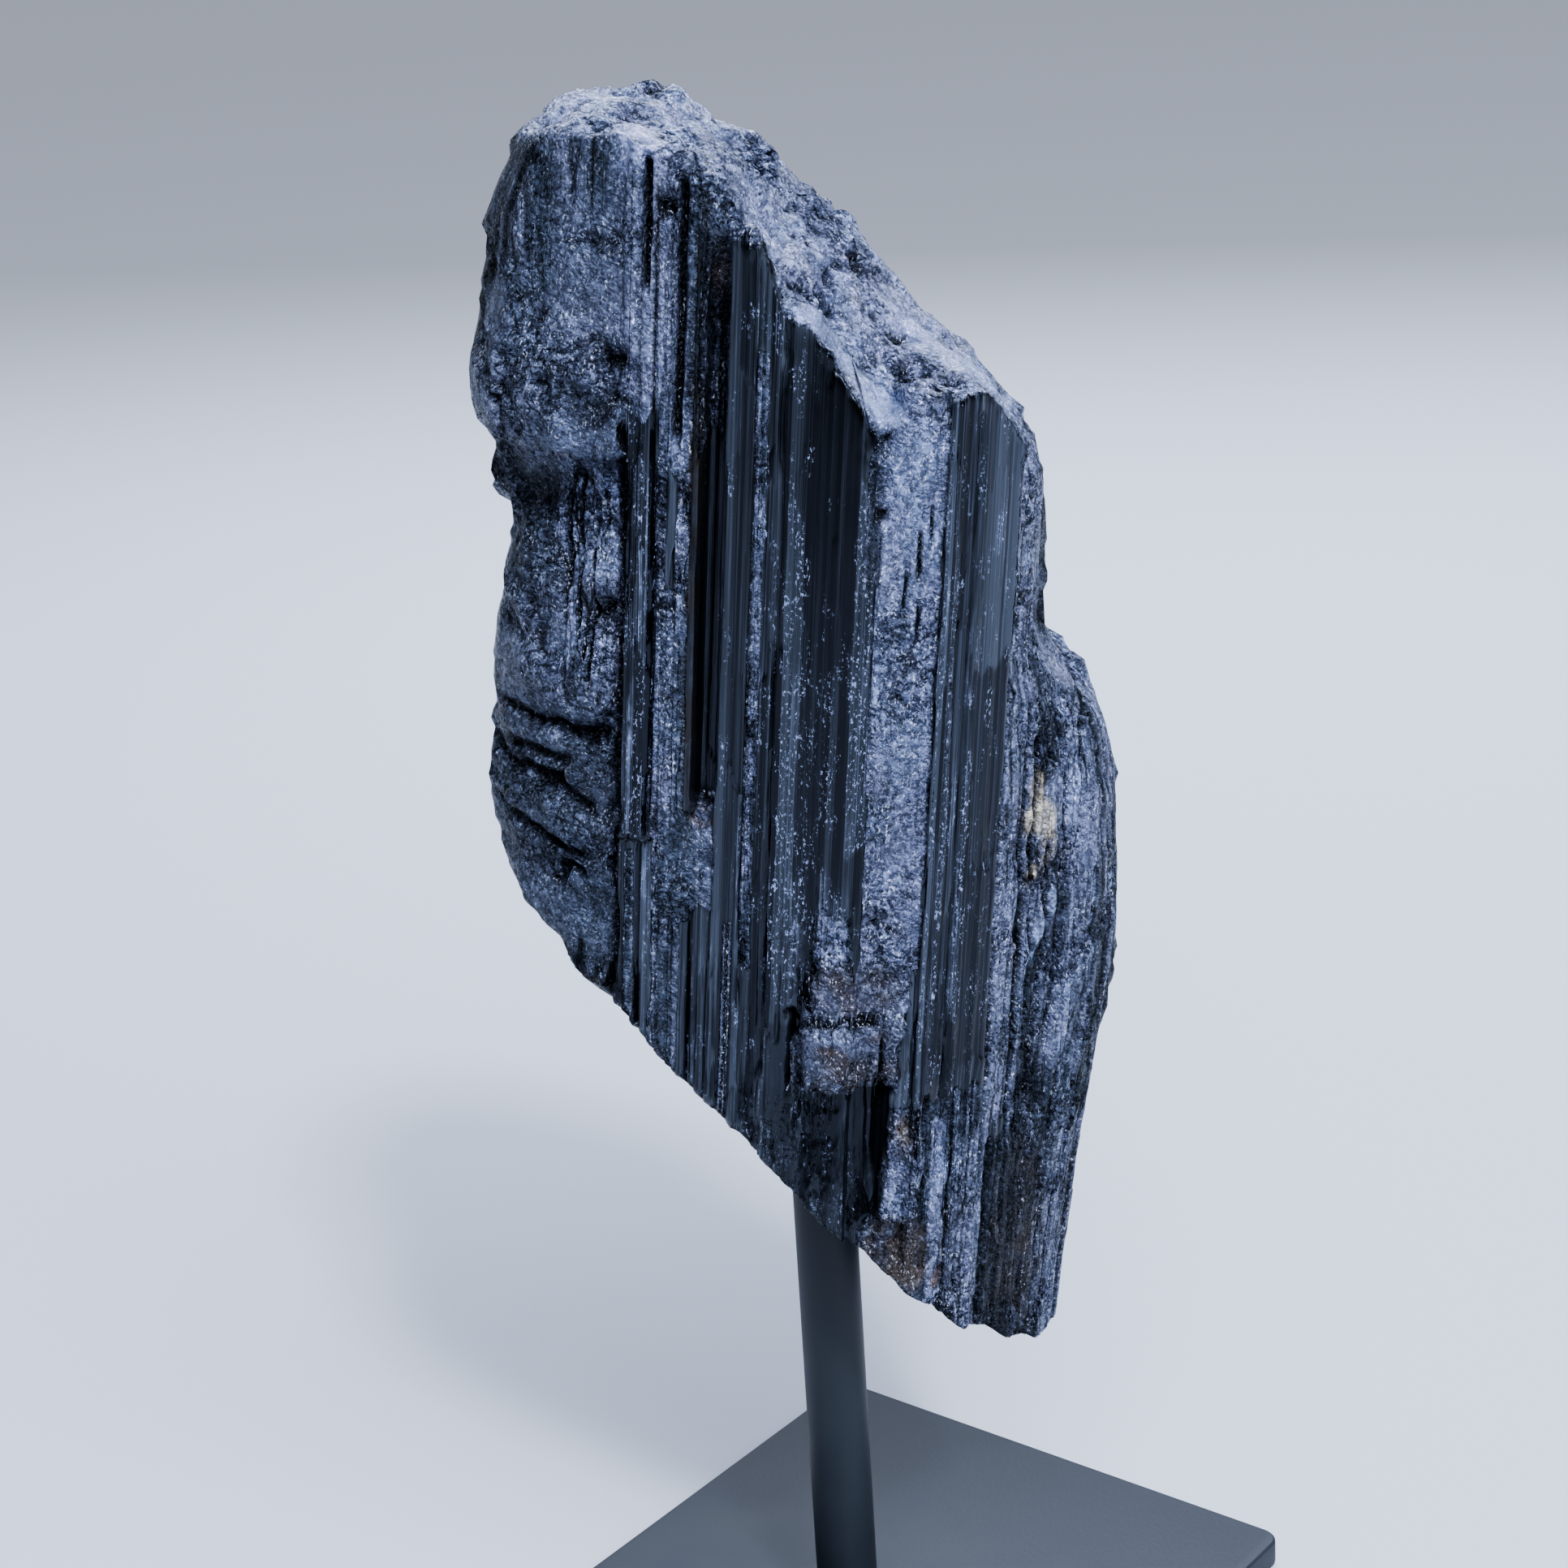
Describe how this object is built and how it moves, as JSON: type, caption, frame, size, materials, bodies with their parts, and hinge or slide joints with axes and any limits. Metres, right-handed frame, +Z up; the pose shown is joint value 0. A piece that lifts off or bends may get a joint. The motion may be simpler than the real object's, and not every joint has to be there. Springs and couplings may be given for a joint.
{
  "type": "black tourmaline specimen on a stand",
  "caption": "Rough striated black tourmaline crystal, drilled underneath and held upright on a black steel rod that stands on a flat black steel plate.",
  "frame": {"origin": "middle of the base plate's underside, on the rod's axis", "axes": "+Z up along the rod; +X along the plate's 100 mm side, +Y along its 130 mm side; the stone's striated front is turned 39 degrees from -Y towards +X"},
  "size_m": [0.1, 0.13, 0.2714],
  "materials": {
    "tourmaline": "glassy striated faces between rough, finely sparkling breaks",
    "black_steel": "matte black powder coat"
  },
  "bodies": {
    "root": {"tourmaline": "tourmaline", "rod": "black_steel", "base_plate": "black_steel"}
  },
  "joints": []
}
